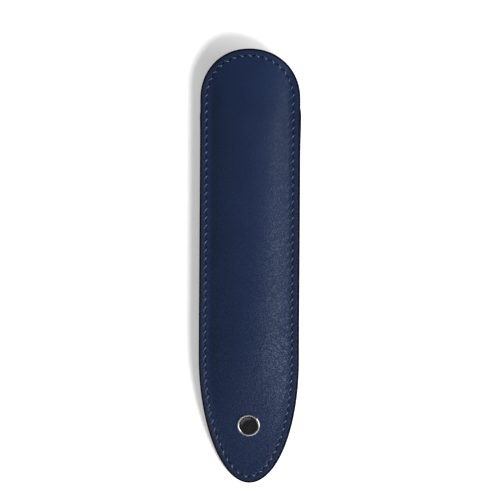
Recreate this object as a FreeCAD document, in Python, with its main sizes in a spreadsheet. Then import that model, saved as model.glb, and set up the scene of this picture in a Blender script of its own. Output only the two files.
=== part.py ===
"""Leather sleeve for one pen.

Two moulded leather panels, each with a lining glued inside it, are sewn together round the edge.
The front panel runs on above the mouth as a rounded tab and carries a round metal stud near the tip.
Units are millimetres. X runs across the sleeve, Y from the tip to the tab, Z up through the front.
The origin is under the middle of the sleeve, on the plane that its back rests on.
"""

import FreeCAD
import Part
import math
import os

import Sketcher
from FreeCAD import Placement, Rotation, Vector

# Driving dimensions, each set by itself
SIZES = (
    ("overall_length", 160.0),
    ("overall_width", 37.0),
    ("tip_length", 46.0),
    ("tab_length", 21.5),
    ("mouth_scoop", 7.0),
    ("seam_margin", 3.2),
    ("leather_thickness", 1.1),
    ("lining_thickness", 0.6),
    ("coat_thickness", 0.4),
    ("front_rise", 4.5),
    ("back_drop", 8.0),
    ("tip_lift", 1.1),
    ("tab_lift", 3.0),
    ("rest_flat", 0.3),
    ("stitch_inset", 2.4),
    ("stitch_pitch", 3.0),
    ("stitch_length", 1.9),
    ("thread_width", 0.56),
    ("thread_height", 0.28),
    ("thread_clearance", 0.04),
    ("stud_distance", 21.2),
    ("stud_diameter", 8.4),
    ("bezel_wall", 0.75),
    ("bezel_height", 1.1),
    ("bezel_floor", 0.4),
    ("brim_bevel", 0.2),
    ("seat_depth", 0.35),
    ("post_diameter", 2.4),
    ("flare_diameter", 3.6),
    ("flare_thickness", 0.25),
    ("washer_diameter", 6.0),
    ("washer_thickness", 0.3),
    ("inlay_edge", 0.35),
    ("inlay_crown", 0.25),
    ("inlay_bevel", 1.4),
    ("fit_clearance", 0.05),
    ("cut_overrun", 5.0),
)

# Places of the sections between the two ends, from the tip, as shares of the overall length
STATION_SHARES = (0.04, 0.074, 0.085, 0.10, 0.115, 0.13, 0.15, 0.17, 0.19, 0.215, 0.25, 0.295, 0.34, 0.81)
TAB_STATION_SHARES = (0.90, 0.95)
# Part of a section's curve that the hollow shoulders at the foot of the swell take
SHOULDER_SHARE = 0.12
# Part of the length over which the swell grows from the tip
GROWTH_SHARE = 0.34
# Part of the length over which the tip comes down towards the table
TIP_LIFT_SHARE = 0.35
# Front swell that is left past the tab, and where it starts to fade and how long, in tab lengths
TAB_RISE_SHARE = 0.5
FADE_START_SHARE = 1.5
FADE_RUN_SHARE = 1.9
# Least swell and width of any section, where the seams meet at the tip
LEAST_RISE_SHARE = 0.03
LEAST_WIDTH_SHARE = 0.6
# Lean of each stitch from the line of the seam
STITCH_LEAN_DEGREES = 36.0

doc = FreeCAD.newDocument("pen_sleeve")
sheet = doc.addObject("Spreadsheet::Sheet", "sizes")
for row, (alias, value) in enumerate(SIZES, start=1):
    sheet.set(f"A{row}", alias)
    sheet.set(f"B{row}", str(value))
    sheet.setAlias(f"B{row}", alias)
doc.recompute()


def number(expression):
    """The present value of an expression in the sheet's names."""
    return float(sheet.evalExpression(expression))


# Expressions that several pieces share
HALF_LENGTH = "(sizes.overall_length / 2)"
HALF_WIDTH = "(sizes.overall_width / 2)"
STACK = "(sizes.leather_thickness + sizes.lining_thickness)"
MOUTH_Y = f"({HALF_LENGTH} - sizes.tab_length)"
SWELL_HALF_WIDTH = f"({HALF_WIDTH} - sizes.seam_margin)"
SCOOP_RADIUS = f"(({HALF_WIDTH} ^ 2 + sizes.mouth_scoop ^ 2) / (2 * sizes.mouth_scoop))"

# Heights and radii of the stud, along its axis from the face of the leather
STUD_Y = f"(sizes.stud_distance - {HALF_LENGTH})"
STUD_RADIUS = "(sizes.stud_diameter / 2)"
WELL_RADIUS = f"({STUD_RADIUS} - sizes.bezel_wall)"
POST_RADIUS = "(sizes.post_diameter / 2)"
FLARE_RADIUS = "(sizes.flare_diameter / 2)"
WASHER_RADIUS = "(sizes.washer_diameter / 2)"
SEAT_Z = "(-sizes.seat_depth)"
FLOOR_Z = f"({SEAT_Z} + sizes.bezel_floor)"
BRIM_Z = f"({SEAT_Z} + sizes.bezel_height)"
WASHER_Z = "(sizes.fit_clearance - sizes.leather_thickness)"
FLARE_Z = f"({WASHER_Z} - sizes.flare_thickness)"

# How a sketch numbers its axes and the points of an edge
X_AXIS, Y_AXIS = range(-1, -3, -1)
START, END, CENTRE = range(1, 4)
ORIGIN = (X_AXIS, START)


# Sketch helpers
def new_sketch(body, name, plane, offset=None):
    """A sketch on one of the body's own origin planes, moved and turned by offset."""
    sketch = body.newObject("Sketcher::SketchObject", name)
    support = next(each for each in body.Origin.OriginFeatures if each.Role == plane)
    sketch.AttachmentSupport = [(support, "")]
    sketch.MapMode = "FlatFace"
    if offset is not None:
        sketch.AttachmentOffset = offset
    return sketch


def bind(sketch, kind, places, expression):
    """Adds a dimension that follows the sheet."""
    index = sketch.addConstraint(Sketcher.Constraint(kind, *places, number(expression)))
    sketch.setExpression(f"Constraints[{index}]", expression)


def rule(sketch, *rules):
    """Adds constraints that have no dimension."""
    sketch.addConstraint([Sketcher.Constraint(*each) for each in rules])


def add_circle(sketch, radius):
    """A circle round the sketch's origin."""
    ring = sketch.addGeometry(Part.Circle(Vector(), Vector(0, 0, 1), number(radius)))
    rule(sketch, ("Coincident", ring, CENTRE, *ORIGIN))
    bind(sketch, "Radius", (ring,), radius)


def add_frame(sketch):
    """A rectangle that takes in the whole sleeve, for cuts that keep what lies inside an outline."""
    half_x = f"({HALF_WIDTH} + 2 * sizes.cut_overrun)"
    half_y = f"({HALF_LENGTH} + 2 * sizes.cut_overrun)"
    wide, long = number(half_x), number(half_y)
    corners = [Vector(-wide, -long), Vector(wide, -long), Vector(wide, long), Vector(-wide, long)]
    sides = [
        sketch.addGeometry(Part.LineSegment(corner, corners[(index + 1) % len(corners)]))
        for index, corner in enumerate(corners)
    ]
    bottom, right, top, left = sides
    for first, second in zip(sides, sides[1:] + sides[:1]):
        rule(sketch, ("Coincident", first, END, second, START))
    rule(sketch, ("Horizontal", bottom), ("Horizontal", top), ("Vertical", right), ("Vertical", left))
    rule(sketch, ("Symmetric", bottom, START, right, END, *ORIGIN))
    bind(sketch, "DistanceX", (bottom, START, bottom, END), f"2 * {half_x}")
    bind(sketch, "DistanceY", (right, START, right, END), f"2 * {half_y}")


def add_outline(sketch, inset, scooped):
    """The outline of a panel, drawn in by inset.

    Half an ellipse makes the tip, straight sides run up from it, and the round tab or the scooped
    mouth closes it.
    """
    half = f"({HALF_WIDTH} - {inset})"
    reach = f"(sizes.tip_length - {inset})"
    waist = f"(sizes.tip_length - {HALF_LENGTH})"
    wide, long, low = number(half), number(reach), number(waist)
    ellipse = Part.Ellipse(Vector(0, low - long), Vector(wide, low), Vector(0, low))
    tip = sketch.addGeometry(Part.ArcOfEllipse(ellipse, -math.pi / 2, math.pi / 2))
    sketch.exposeInternalGeometry(tip)
    long_axis, short_axis = tip + 1, tip + 2
    rule(
        sketch,
        ("PointOnObject", tip, CENTRE, Y_AXIS),
        ("Vertical", long_axis),
        ("Coincident", tip, START, short_axis, END),
        ("Coincident", tip, END, short_axis, START),
    )
    bind(sketch, "DistanceY", (*ORIGIN, tip, CENTRE), waist)
    bind(sketch, "Distance", (long_axis,), f"2 * {reach}")
    bind(sketch, "Distance", (short_axis,), f"2 * {half}")

    if scooped:
        radius = f"({SCOOP_RADIUS} + {inset})"
        centre = f"({MOUTH_Y} - sizes.mouth_scoop + {SCOOP_RADIUS})"
        spread = math.asin(wide / number(radius))
        angles = (-math.pi / 2 - spread, -math.pi / 2 + spread)
        high = number(centre) - number(radius) * math.cos(spread)
    else:
        radius = half
        centre = f"({HALF_LENGTH} - {HALF_WIDTH})"
        angles = (0.0, math.pi)
        high = number(centre)
    left = sketch.addGeometry(Part.LineSegment(Vector(-wide, low), Vector(-wide, high)))
    right = sketch.addGeometry(Part.LineSegment(Vector(wide, low), Vector(wide, high)))
    circle = Part.Circle(Vector(0, number(centre)), Vector(0, 0, 1), number(radius))
    top = sketch.addGeometry(Part.ArcOfCircle(circle, *angles))
    rule(
        sketch,
        ("Coincident", left, START, tip, START),
        ("Coincident", right, START, tip, END),
        ("Vertical", left),
        ("Vertical", right),
    )
    if scooped:
        rule(
            sketch,
            ("Coincident", left, END, top, START),
            ("Coincident", right, END, top, END),
            ("PointOnObject", top, CENTRE, Y_AXIS),
        )
        bind(sketch, "Radius", (top,), radius)
    else:
        rule(sketch, ("Tangent", left, END, top, END), ("Tangent", right, END, top, START))
    bind(sketch, "DistanceY", (*ORIGIN, top, CENTRE), centre)


def add_profile(sketch, corners):
    """A closed profile of straight sides beside the Y axis. Its corners are pairs of expressions."""
    points = [Vector(number(across), number(along)) for across, along in corners]
    sides = [
        sketch.addGeometry(Part.LineSegment(point, other))
        for point, other in zip(points, points[1:] + points[:1])
    ]
    for side, after in zip(sides, sides[1:] + sides[:1]):
        rule(sketch, ("Coincident", side, END, after, START))
    for side, (across, along) in zip(sides, corners):
        if across == "0":
            rule(sketch, ("PointOnObject", side, START, Y_AXIS))
        else:
            bind(sketch, "DistanceX", (*ORIGIN, side, START), across)
        bind(sketch, "DistanceY", (*ORIGIN, side, START), along)


def cut_away(body, name, sketch, side):
    """Cuts a sketch through the body, up or down from its plane or both ways."""
    before = body.Shape.Volume
    cut = body.newObject("PartDesign::Pocket", name)
    cut.Profile = sketch
    cut.Type = "ThroughAll"
    cut.SideType = "Symmetric" if side == "both" else "One side"
    cut.Reversed = side == "up"
    doc.recompute()
    if body.Shape.Volume >= before:
        raise RuntimeError(f"{name} cuts nothing")


# Sections of the moulded plies
def swell(share):
    """Smooth growth from 0 to 1."""
    return math.sin(math.pi / 2 * min(1.0, max(0.0, share))) ** 2


class Station:
    """One cross section: its place, the height of the seam there and how far the leather swells."""

    def __init__(self, share):
        tab_share = number("sizes.tab_length / sizes.overall_length")
        tip_share = number("sizes.tip_length / sizes.overall_length")
        up_the_tab = max(0.0, (share - 1 + tab_share) / tab_share)
        fade = swell(((share - 1) / tab_share + FADE_START_SHARE) / FADE_RUN_SHARE)
        back = swell(share / GROWTH_SHARE)
        front = back * (1 - (1 - TAB_RISE_SHARE) * fade)
        lift = max(0.0, 1 - max(share, 0.0) / TIP_LIFT_SHARE) ** 2
        self.y = f"({share} * sizes.overall_length - {HALF_LENGTH})"
        self.level = (
            f"({STACK} - sizes.rest_flat + sizes.back_drop * {back} + sizes.tip_lift * {lift}"
            f" + sizes.tab_lift * {up_the_tab ** 2})"
        )
        self.front_rise = f"(sizes.front_rise * {max(front, LEAST_RISE_SHARE)})"
        self.back_rise = f"(sizes.back_drop * {max(back, LEAST_RISE_SHARE)})"
        up_the_tip = min(1.0, max(0.0, share / tip_share))
        edge = number(HALF_WIDTH) * math.sqrt(1 - (1 - up_the_tip) ** 2)
        width_share = (edge - number("sizes.seam_margin")) / number(SWELL_HALF_WIDTH)
        self.half_width = f"({SWELL_HALF_WIDTH} * {max(width_share, LEAST_WIDTH_SHARE)})"


def section_sketch(body, name, station, front, depth, thickness):
    """The closed section of one ply: flat margins, hollow shoulders and a round crown, inside and out.

    depth is how far the ply's outer face lies under the sleeve's. The back's sketches hang upside down.
    """
    turn = Rotation() if front else Rotation(Vector(1, 0, 0), 180)
    sketch = new_sketch(body, name, "XZ_Plane", Placement(Vector(0, 0, -number(station.y)), turn))
    sketch.setExpression(".AttachmentOffset.Base.z", f"-{station.y}")
    sign = "" if front else "-"
    rise = station.front_rise if front else station.back_rise
    level = f"({sign}{station.level} + {STACK} - {depth})"
    sweep = f"(({station.half_width} ^ 2 + {rise} ^ 2) / (2 * {rise}))"
    shoulder = f"({sweep} * {SHOULDER_SHARE} + {depth})"
    crown = f"({sweep} * {1 - SHOULDER_SHARE} - {depth})"
    slab = f"({HALF_WIDTH} + sizes.cut_overrun)"

    half, edge, foot = number(station.half_width), number(slab), number(level)
    angle = math.atan2(half, number(sweep) - number(rise))
    down = -math.pi / 2
    crown_centre = Vector(0, foot + number(rise) - number(crown))
    for drop in (0.0, number(thickness)):
        hollow = number(shoulder) + drop
        arcs = (
            (Vector(-half, foot + number(shoulder)), hollow, down, down + angle),
            (crown_centre, number(crown) - drop, -down - angle, -down + angle),
            (Vector(half, foot + number(shoulder)), hollow, down - angle, down),
        )
        sketch.addGeometry(Part.LineSegment(Vector(-edge, foot - drop), Vector(-half, foot - drop)))
        for centre, radius, first, last in arcs:
            circle = Part.Circle(centre, Vector(0, 0, 1), radius)
            sketch.addGeometry(Part.ArcOfCircle(circle, first, last))
        sketch.addGeometry(Part.LineSegment(Vector(half, foot - drop), Vector(edge, foot - drop)))
    for end in (-edge, edge):
        sketch.addGeometry(Part.LineSegment(Vector(end, foot), Vector(end, foot - number(thickness))))

    outer, inner, left_end, right_end = 0, 5, 10, 11
    for first in (outer, inner):
        line, left, top, right, last = range(first, first + 5)
        rule(
            sketch,
            ("Tangent", line, END, left, START),
            ("Tangent", left, END, top, END),
            ("Tangent", top, START, right, START),
            ("Tangent", right, END, last, START),
            ("Horizontal", line),
            ("Horizontal", last),
        )
    rule(
        sketch,
        ("PointOnObject", outer + 2, CENTRE, Y_AXIS),
        ("Equal", outer + 1, outer + 3),
        ("Symmetric", outer, START, outer + 4, END, Y_AXIS),
        ("Coincident", inner + 1, CENTRE, outer + 1, CENTRE),
        ("Coincident", inner + 2, CENTRE, outer + 2, CENTRE),
        ("Coincident", inner + 3, CENTRE, outer + 3, CENTRE),
        ("Coincident", left_end, START, outer, START),
        ("Coincident", left_end, END, inner, START),
        ("Coincident", right_end, START, outer + 4, END),
        ("Coincident", right_end, END, inner + 4, END),
        ("Vertical", left_end),
        ("Vertical", right_end),
    )
    bind(sketch, "DistanceY", (*ORIGIN, outer, START), level)
    bind(sketch, "DistanceX", (outer, START, *ORIGIN), slab)
    bind(sketch, "DistanceX", (outer + 1, CENTRE, *ORIGIN), station.half_width)
    bind(sketch, "Radius", (outer + 1,), shoulder)
    bind(sketch, "Radius", (outer + 2,), crown)
    bind(sketch, "Distance", (left_end,), thickness)
    return sketch


overrun_share = number("sizes.cut_overrun / sizes.overall_length")
mouth_share = 1 - number("sizes.tab_length / sizes.overall_length")
back_stations = [Station(share) for share in (-overrun_share, *STATION_SHARES, mouth_share + overrun_share)]
front_stations = back_stations[:-1] + [Station(share) for share in (*TAB_STATION_SHARES, 1 + overrun_share)]


def moulded_ply(label, front, depth, thickness, insets):
    """A moulded ply, lofted through the stations and trimmed to its outline.

    One inset keeps all that lies inside the outline drawn in by it, and two keep the band between them.
    """
    body = doc.addObject("PartDesign::Body", label)
    sketches = [
        section_sketch(body, f"{label}_section_{index}", station, front, depth, thickness)
        for index, station in enumerate(front_stations if front else back_stations)
    ]
    loft = body.newObject("PartDesign::AdditiveLoft", f"{label}_swell")
    loft.Profile = sketches[0]
    loft.Sections = sketches[1:]
    loft.Ruled = True
    doc.recompute()
    trim = new_sketch(body, f"{label}_outline", "XY_Plane")
    add_frame(trim)
    for inset in insets:
        add_outline(trim, inset, scooped=not front)
    cut_away(body, f"{label}_trim", trim, "both")
    return body


LEATHER = "sizes.leather_thickness"
LINING = "sizes.lining_thickness"
COAT = "sizes.coat_thickness"
front_panel = moulded_ply("front_panel", True, "0", LEATHER, (COAT,))
front_lining = moulded_ply("front_lining", True, LEATHER, LINING, (COAT,))
front_edge_coat = moulded_ply("front_edge_coat", True, "0", STACK, ("0", COAT))
back_panel = moulded_ply("back_panel", False, "0", LEATHER, (COAT,))
back_lining = moulded_ply("back_lining", False, LEATHER, LINING, (COAT,))
back_edge_coat = moulded_ply("back_edge_coat", False, "0", STACK, ("0", COAT))

# The back is pressed flat where it rests, and the paint of its edge stays clear of the table
for resting, level in ((back_panel, "0"), (back_edge_coat, "sizes.fit_clearance")):
    rest = new_sketch(
        resting, f"{resting.Label}_rest_plane", "XY_Plane", Placement(Vector(0, 0, number(level)), Rotation())
    )
    rest.setExpression(".AttachmentOffset.Base.z", level)
    add_frame(rest)
    cut_away(resting, f"{resting.Label}_rest", rest, "down")


# Places on the leather
def strips(body):
    """The faces of a ply's loft, each with its box."""
    return [(face.Surface, face.BoundBox) for face in doc.getObject(f"{body.Label}_swell").Shape.Faces]


def height(faces, x, y, top):
    """Height of the upper or lower side of a ply over a place."""
    reach = Vector(0, 0, number("sizes.overall_length"))
    line = Part.LineSegment(Vector(x, y) - reach, Vector(x, y) + reach)
    levels = [
        point.Z
        for surface, box in faces
        if box.XMin <= x <= box.XMax and box.YMin <= y <= box.YMax
        for point in line.intersectCS(surface)[0]
    ]
    return max(levels) if top else min(levels)


# The stud stands square to the leather at its place
front_strips = strips(front_panel)
stud_y = number(STUD_Y)
stud_reach = number(STUD_RADIUS)
low, middle, high = (
    height(front_strips, 0, stud_y + step * stud_reach, top=True) for step in (-1, 0, 1)
)
stud_lean = math.degrees(math.atan2(high - low, 2 * stud_reach))
stud_frame = Placement(Vector(0, stud_y, middle), Rotation(Vector(1, 0, 0), stud_lean))


def stud_sketch(body, name, level, radius):
    """A circle across the stud's axis, at a height along it."""
    sketch = new_sketch(body, name, "XY_Plane", stud_frame * Placement(Vector(0, 0, number(level)), Rotation()))
    add_circle(sketch, radius)
    return sketch


seat = stud_sketch(front_panel, "stud_seat_circle", SEAT_Z, f"{STUD_RADIUS} + sizes.fit_clearance")
cut_away(front_panel, "stud_seat", seat, "up")
hole = stud_sketch(front_panel, "post_hole_circle", SEAT_Z, f"{POST_RADIUS} + sizes.fit_clearance")
cut_away(front_panel, "post_hole", hole, "both")
recess = stud_sketch(
    front_panel,
    "washer_recess_circle",
    f"{WASHER_Z} + sizes.washer_thickness",
    f"{WASHER_RADIUS} + sizes.fit_clearance",
)
cut_away(front_panel, "washer_recess", recess, "down")
relief = stud_sketch(
    front_lining,
    "flare_relief_circle",
    f"{FLARE_Z} - sizes.fit_clearance",
    f"{FLARE_RADIUS} + sizes.fit_clearance",
)
cut_away(front_lining, "flare_relief", relief, "up")


def turned_body(label, corners):
    """A piece of the stud, turned about its axis."""
    body = doc.addObject("PartDesign::Body", label)
    body.Placement = stud_frame
    sketch = new_sketch(body, f"{label}_profile", "XZ_Plane")
    add_profile(sketch, corners)
    turned = body.newObject("PartDesign::Revolution", f"{label}_turned")
    turned.Profile = sketch
    turned.ReferenceAxis = (sketch, ["V_Axis"])
    turned.Angle = 360
    doc.recompute()
    return body


# Steel cup with a bevelled brim, its post and the end that is riveted over the washer
bevel_foot = f"({BRIM_Z} - sizes.brim_bevel)"
stud_bezel = turned_body(
    "stud_bezel",
    (
        ("0", FLOOR_Z),
        (WELL_RADIUS, FLOOR_Z),
        (WELL_RADIUS, bevel_foot),
        (f"({WELL_RADIUS} + sizes.brim_bevel)", BRIM_Z),
        (f"({STUD_RADIUS} - sizes.brim_bevel)", BRIM_Z),
        (STUD_RADIUS, bevel_foot),
        (STUD_RADIUS, SEAT_Z),
        (POST_RADIUS, SEAT_Z),
        (POST_RADIUS, WASHER_Z),
        (FLARE_RADIUS, WASHER_Z),
        (FLARE_RADIUS, FLARE_Z),
        ("0", FLARE_Z),
    ),
)

# Disc in the cup, crowned by a wide bevel
inlay_radius = f"({WELL_RADIUS} - sizes.fit_clearance)"
inlay_top = f"({FLOOR_Z} + sizes.inlay_edge + sizes.inlay_crown)"
stud_inlay = turned_body(
    "stud_inlay",
    (
        ("0", FLOOR_Z),
        (inlay_radius, FLOOR_Z),
        (inlay_radius, f"({FLOOR_Z} + sizes.inlay_edge)"),
        (f"({inlay_radius} - sizes.inlay_bevel)", inlay_top),
        ("0", inlay_top),
    ),
)

# Washer between the leather and the lining
stud_washer = doc.addObject("PartDesign::Body", "stud_washer")
stud_washer.Placement = stud_frame
washer_plan = new_sketch(
    stud_washer, "washer_plan", "XY_Plane", Placement(Vector(0, 0, number(WASHER_Z)), Rotation())
)
washer_plan.setExpression(".AttachmentOffset.Base.z", WASHER_Z)
add_circle(washer_plan, WASHER_RADIUS)
add_circle(washer_plan, f"{POST_RADIUS} + sizes.fit_clearance")
washer_pad = stud_washer.newObject("PartDesign::Pad", "washer_pad")
washer_pad.Profile = washer_plan
washer_pad.setExpression("Length", "sizes.washer_thickness")

# Line of the seam, all round the front panel
seam = doc.addObject("Sketcher::SketchObject", "seam_line")
add_outline(seam, "sizes.stitch_inset", scooped=False)
doc.recompute()
seam_wire = seam.Shape.Wires[0]
stitch_count = round(seam_wire.Length / number("sizes.stitch_pitch"))
seam_points = seam_wire.discretize(Number=stitch_count + 1)


def stitch(faces, place, along, top):
    """A thread, drawn as a plain ridge, that lies on the upper or lower side of a ply."""
    wide = number("sizes.thread_width / 2")
    half = along * number("sizes.stitch_length / 2")
    side = Vector(-along.y, along.x) * wide

    def on_face(point):
        return Vector(point.x, point.y, height(faces, point.x, point.y, top))

    first, last, beside = on_face(place - half), on_face(place + half), on_face(place + side)
    run = last - first
    up = run.cross(beside - first).normalize()
    if (up.z > 0) != top:
        up = -up
    across = run.cross(up).normalize()
    base = first + up * number("sizes.thread_clearance")
    ridge = base + up * number("sizes.thread_height")
    corners = [base - across * wide, base + across * wide, ridge]
    return Part.Face(Part.makePolygon(corners, True)).extrude(run)


def seam_stitches(label, top):
    """The thread on the front, or on the back and on the inside of the tab."""
    turn = Rotation(Vector(0, 0, 1), -STITCH_LEAN_DEGREES if top else STITCH_LEAN_DEGREES)
    pitch = number("sizes.stitch_pitch")
    scoop = number(SCOOP_RADIUS)
    rim = math.sqrt(scoop ** 2 - number(f"{HALF_WIDTH} - sizes.stitch_inset") ** 2)
    mouth = number(f"{MOUTH_Y} - sizes.mouth_scoop") + scoop - rim
    under, over = (front_strips, None) if top else (strips(back_panel), strips(front_lining))
    solids = []
    for start, end in zip(seam_points, seam_points[1:]):
        place = (start + end) / 2
        along = turn.multVec((end - start).normalize())
        if top or place.y < mouth - pitch:
            solids.append(stitch(under, place, along, top))
        elif place.y > mouth + pitch:
            solids.append(stitch(over, place, along, top))
    piece = doc.addObject("Part::Feature", label)
    piece.Shape = Part.makeCompound(solids)
    piece.Placement = Placement()
    return piece


front_stitches = seam_stitches("front_stitches", top=True)
back_stitches = seam_stitches("back_stitches", top=False)
doc.recompute()

# Every feature has to have worked before anything is written
for each in doc.Objects:
    if "Invalid" in each.State or "Error" in each.State:
        raise RuntimeError(f"{each.Label} failed: {each.State}")
nodes = (
    front_panel,
    front_lining,
    front_edge_coat,
    back_panel,
    back_lining,
    back_edge_coat,
    front_stitches,
    back_stitches,
    stud_bezel,
    stud_inlay,
    stud_washer,
)
for node in nodes:
    if node.Shape.isNull() or not node.Shape.isValid():
        raise RuntimeError(f"{node.Label} has no valid shape")
os.makedirs("parts", exist_ok=True)
for node in nodes:
    node.Shape.exportStep(f"parts/{node.Label}.step")
    box = node.Shape.optimalBoundingBox()
    print(
        f"{node.Label}: {len(node.Shape.Solids)} solids, {node.Shape.Volume:.1f} mm3,"
        f" z {box.ZMin:.2f} to {box.ZMax:.2f}"
    )
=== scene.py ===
# %% [markdown]
# A leather sleeve for one pen, seen from above on a pale table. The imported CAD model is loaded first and
# stays fixed. Each piece that follows is laid over one of its nodes, in metres and in the same frame, so
# that no piece has to be moved into its place by eye.

# %% Load the frame
import bisect
import math

import bmesh
import bpy
from mathutils import Euler, Matrix, Vector, noise


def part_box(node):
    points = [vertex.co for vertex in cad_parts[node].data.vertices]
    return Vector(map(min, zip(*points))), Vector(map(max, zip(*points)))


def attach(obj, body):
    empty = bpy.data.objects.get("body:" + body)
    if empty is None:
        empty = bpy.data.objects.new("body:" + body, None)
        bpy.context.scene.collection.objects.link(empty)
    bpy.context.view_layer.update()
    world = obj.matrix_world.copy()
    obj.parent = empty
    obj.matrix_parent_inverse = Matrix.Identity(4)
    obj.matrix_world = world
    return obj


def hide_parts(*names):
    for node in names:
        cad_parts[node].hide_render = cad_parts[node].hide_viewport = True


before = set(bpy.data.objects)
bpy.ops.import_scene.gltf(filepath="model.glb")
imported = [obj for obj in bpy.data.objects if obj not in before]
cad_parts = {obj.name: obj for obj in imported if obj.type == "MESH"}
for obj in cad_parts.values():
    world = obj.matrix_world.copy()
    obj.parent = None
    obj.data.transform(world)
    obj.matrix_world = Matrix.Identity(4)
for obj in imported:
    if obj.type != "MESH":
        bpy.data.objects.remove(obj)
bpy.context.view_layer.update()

# %% [markdown]
# The sleeve's main sizes are read from the painted edge of the two panels, which is the outermost thing on
# it. What a box can't tell, such as the plies and the length of the tip, is written here once, as a maker
# would note it. All of it could be typed in, but sizes that are read follow the model if it changes.

# %% Sizes from the frame and from the maker's notes
MM = 0.001
edge_low, edge_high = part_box("front_edge_coat")
HALF_WIDTH = edge_high.x
TIP_Y, TAB_Y = edge_low.y, edge_high.y
LENGTH = TAB_Y - TIP_Y
MOUTH_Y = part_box("back_edge_coat")[1].y
TAB_LENGTH = TAB_Y - MOUTH_Y
TIP_LENGTH = 46 * MM
WAIST_Y = TIP_Y + TIP_LENGTH
NECK_Y = TAB_Y - HALF_WIDTH

LEATHER = 1.1 * MM
LINING = 0.6 * MM
STACK = LEATHER + LINING
COAT = 0.4 * MM
print(f"sleeve {2 * HALF_WIDTH / MM:.1f} x {LENGTH / MM:.1f} mm, tab {TAB_LENGTH / MM:.1f} mm")

# %% [markdown]
# Wet leather is pressed over a form, and keeps it when dry. Across the sleeve that form is a flat margin, a
# hollow shoulder and a round crown, which grow from nothing at the tip. A subdivided cage could be pulled
# about until it looks right. A formula is better here: every ply is the same curve at another depth, so the
# plies can never cut through each other.

# %% The form along the sleeve
SEAM_MARGIN = 3.2 * MM
FRONT_RISE = 4.5 * MM
BACK_DROP = 8.0 * MM
TIP_LIFT = 1.1 * MM
TAB_LIFT = 3.0 * MM
REST_FLAT = 0.3 * MM
GROWTH_SHARE = 0.34
TIP_LIFT_SHARE = 0.35
TAB_RISE_SHARE = 0.5
FADE_START_SHARE = 1.5
FADE_RUN_SHARE = 1.9
LEAST_RISE_SHARE = 0.03
LEAST_WIDTH_SHARE = 0.6


def growth(share):
    """Smooth growth from 0 to 1."""
    return math.sin(math.pi / 2 * min(1.0, max(0.0, share))) ** 2


def section(y):
    """Height of the seam, rise of the front, drop of the back and half width of the swell."""
    share = (y - TIP_Y) / LENGTH
    tab_share = TAB_LENGTH / LENGTH
    swell = growth(share / GROWTH_SHARE)
    fade = growth(((share - 1) / tab_share + FADE_START_SHARE) / FADE_RUN_SHARE)
    lift = max(0.0, 1 - max(share, 0.0) / TIP_LIFT_SHARE) ** 2
    up_the_tab = max(0.0, (share - 1 + tab_share) / tab_share)
    seam = STACK - REST_FLAT + BACK_DROP * swell + TIP_LIFT * lift + TAB_LIFT * up_the_tab ** 2
    front_rise = FRONT_RISE * max(swell * (1 - (1 - TAB_RISE_SHARE) * fade), LEAST_RISE_SHARE)
    back_drop = BACK_DROP * max(swell, LEAST_RISE_SHARE)
    up_the_tip = min(1.0, max(0.0, (y - TIP_Y) / TIP_LENGTH))
    edge = HALF_WIDTH * math.sqrt(1 - (1 - up_the_tip) ** 2)
    half = max(edge - SEAM_MARGIN, LEAST_WIDTH_SHARE * (HALF_WIDTH - SEAM_MARGIN))
    return seam, front_rise, back_drop, half


for name, y in (("tip", TIP_Y), ("waist", WAIST_Y), ("mouth", MOUTH_Y), ("tab", TAB_Y)):
    print(f"{name}: the seam is {section(y)[0] / MM:.1f} mm above the table")

# %% The form across the sleeve
SHOULDER_SHARE = 0.12
REST_SOFTNESS = 0.08 * MM


def leather_height(x, y, front, depth=0.0):
    """Height of a ply, so deep under the outer face of the front or the back."""
    seam, front_rise, back_drop, half = section(y)
    rise = front_rise if front else back_drop
    sweep = (half ** 2 + rise ** 2) / (2 * rise)
    shoulder = SHOULDER_SHARE * sweep
    crown = sweep - shoulder
    angle = math.atan2(half, sweep - rise)
    reach = abs(x)
    if reach >= half:
        swell = -depth
    elif reach > (crown - depth) * math.sin(angle):
        swell = shoulder - math.sqrt((shoulder + depth) ** 2 - (half - reach) ** 2)
    else:
        swell = rise - crown + math.sqrt((crown - depth) ** 2 - reach ** 2)
    if front:
        return seam + STACK + swell
    height = seam - STACK - swell
    return (height + math.hypot(height, REST_SOFTNESS)) / 2


# %% [markdown]
# The edge of the sleeve is half an ellipse, two straight sides and a slightly squared half circle, which is
# a circle's formula with a power a little over two. A curve object could carry it, but a formula also gives
# the direction outwards at every place, which the seam and the painted edge need.

# %% The edge
WAY_END = 3
TIP_SPINE = 30 * MM
TAB_SPINE = 8 * MM
TAB_POWER = 2.1


def edge_at(way):
    """Edge point, outward direction and place on the spine, from 0 at the tip's end to 3 at the tab's end."""
    if way <= 1:
        angle = (way - 1) * math.pi / 2
        point = Vector((HALF_WIDTH * math.cos(angle), WAIST_Y + TIP_LENGTH * math.sin(angle)))
        out = Vector((math.cos(angle) / HALF_WIDTH, math.sin(angle) / TIP_LENGTH)).normalized()
        spine = WAIST_Y + TIP_SPINE * math.sin(angle)
    elif way <= 2:
        point = Vector((HALF_WIDTH, WAIST_Y + (NECK_Y - WAIST_Y) * (way - 1)))
        out = Vector((1, 0))
        spine = point.y
    else:
        angle = (way - 2) * math.pi / 2
        across, up = math.cos(angle), math.sin(angle)
        share = 2 / TAB_POWER
        point = Vector((0, NECK_Y)) + HALF_WIDTH * Vector((across ** share, up ** share))
        out = Vector((across ** (2 - share), up ** (2 - share))).normalized()
        spine = NECK_Y + TAB_SPINE * up
    return point, out, spine


shoulder_point = edge_at(WAY_END - 0.5)[0] - Vector((0, NECK_Y))
print(f"tab's shoulder {(shoulder_point.length - HALF_WIDTH) / MM:.2f} mm outside a half circle")

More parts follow.
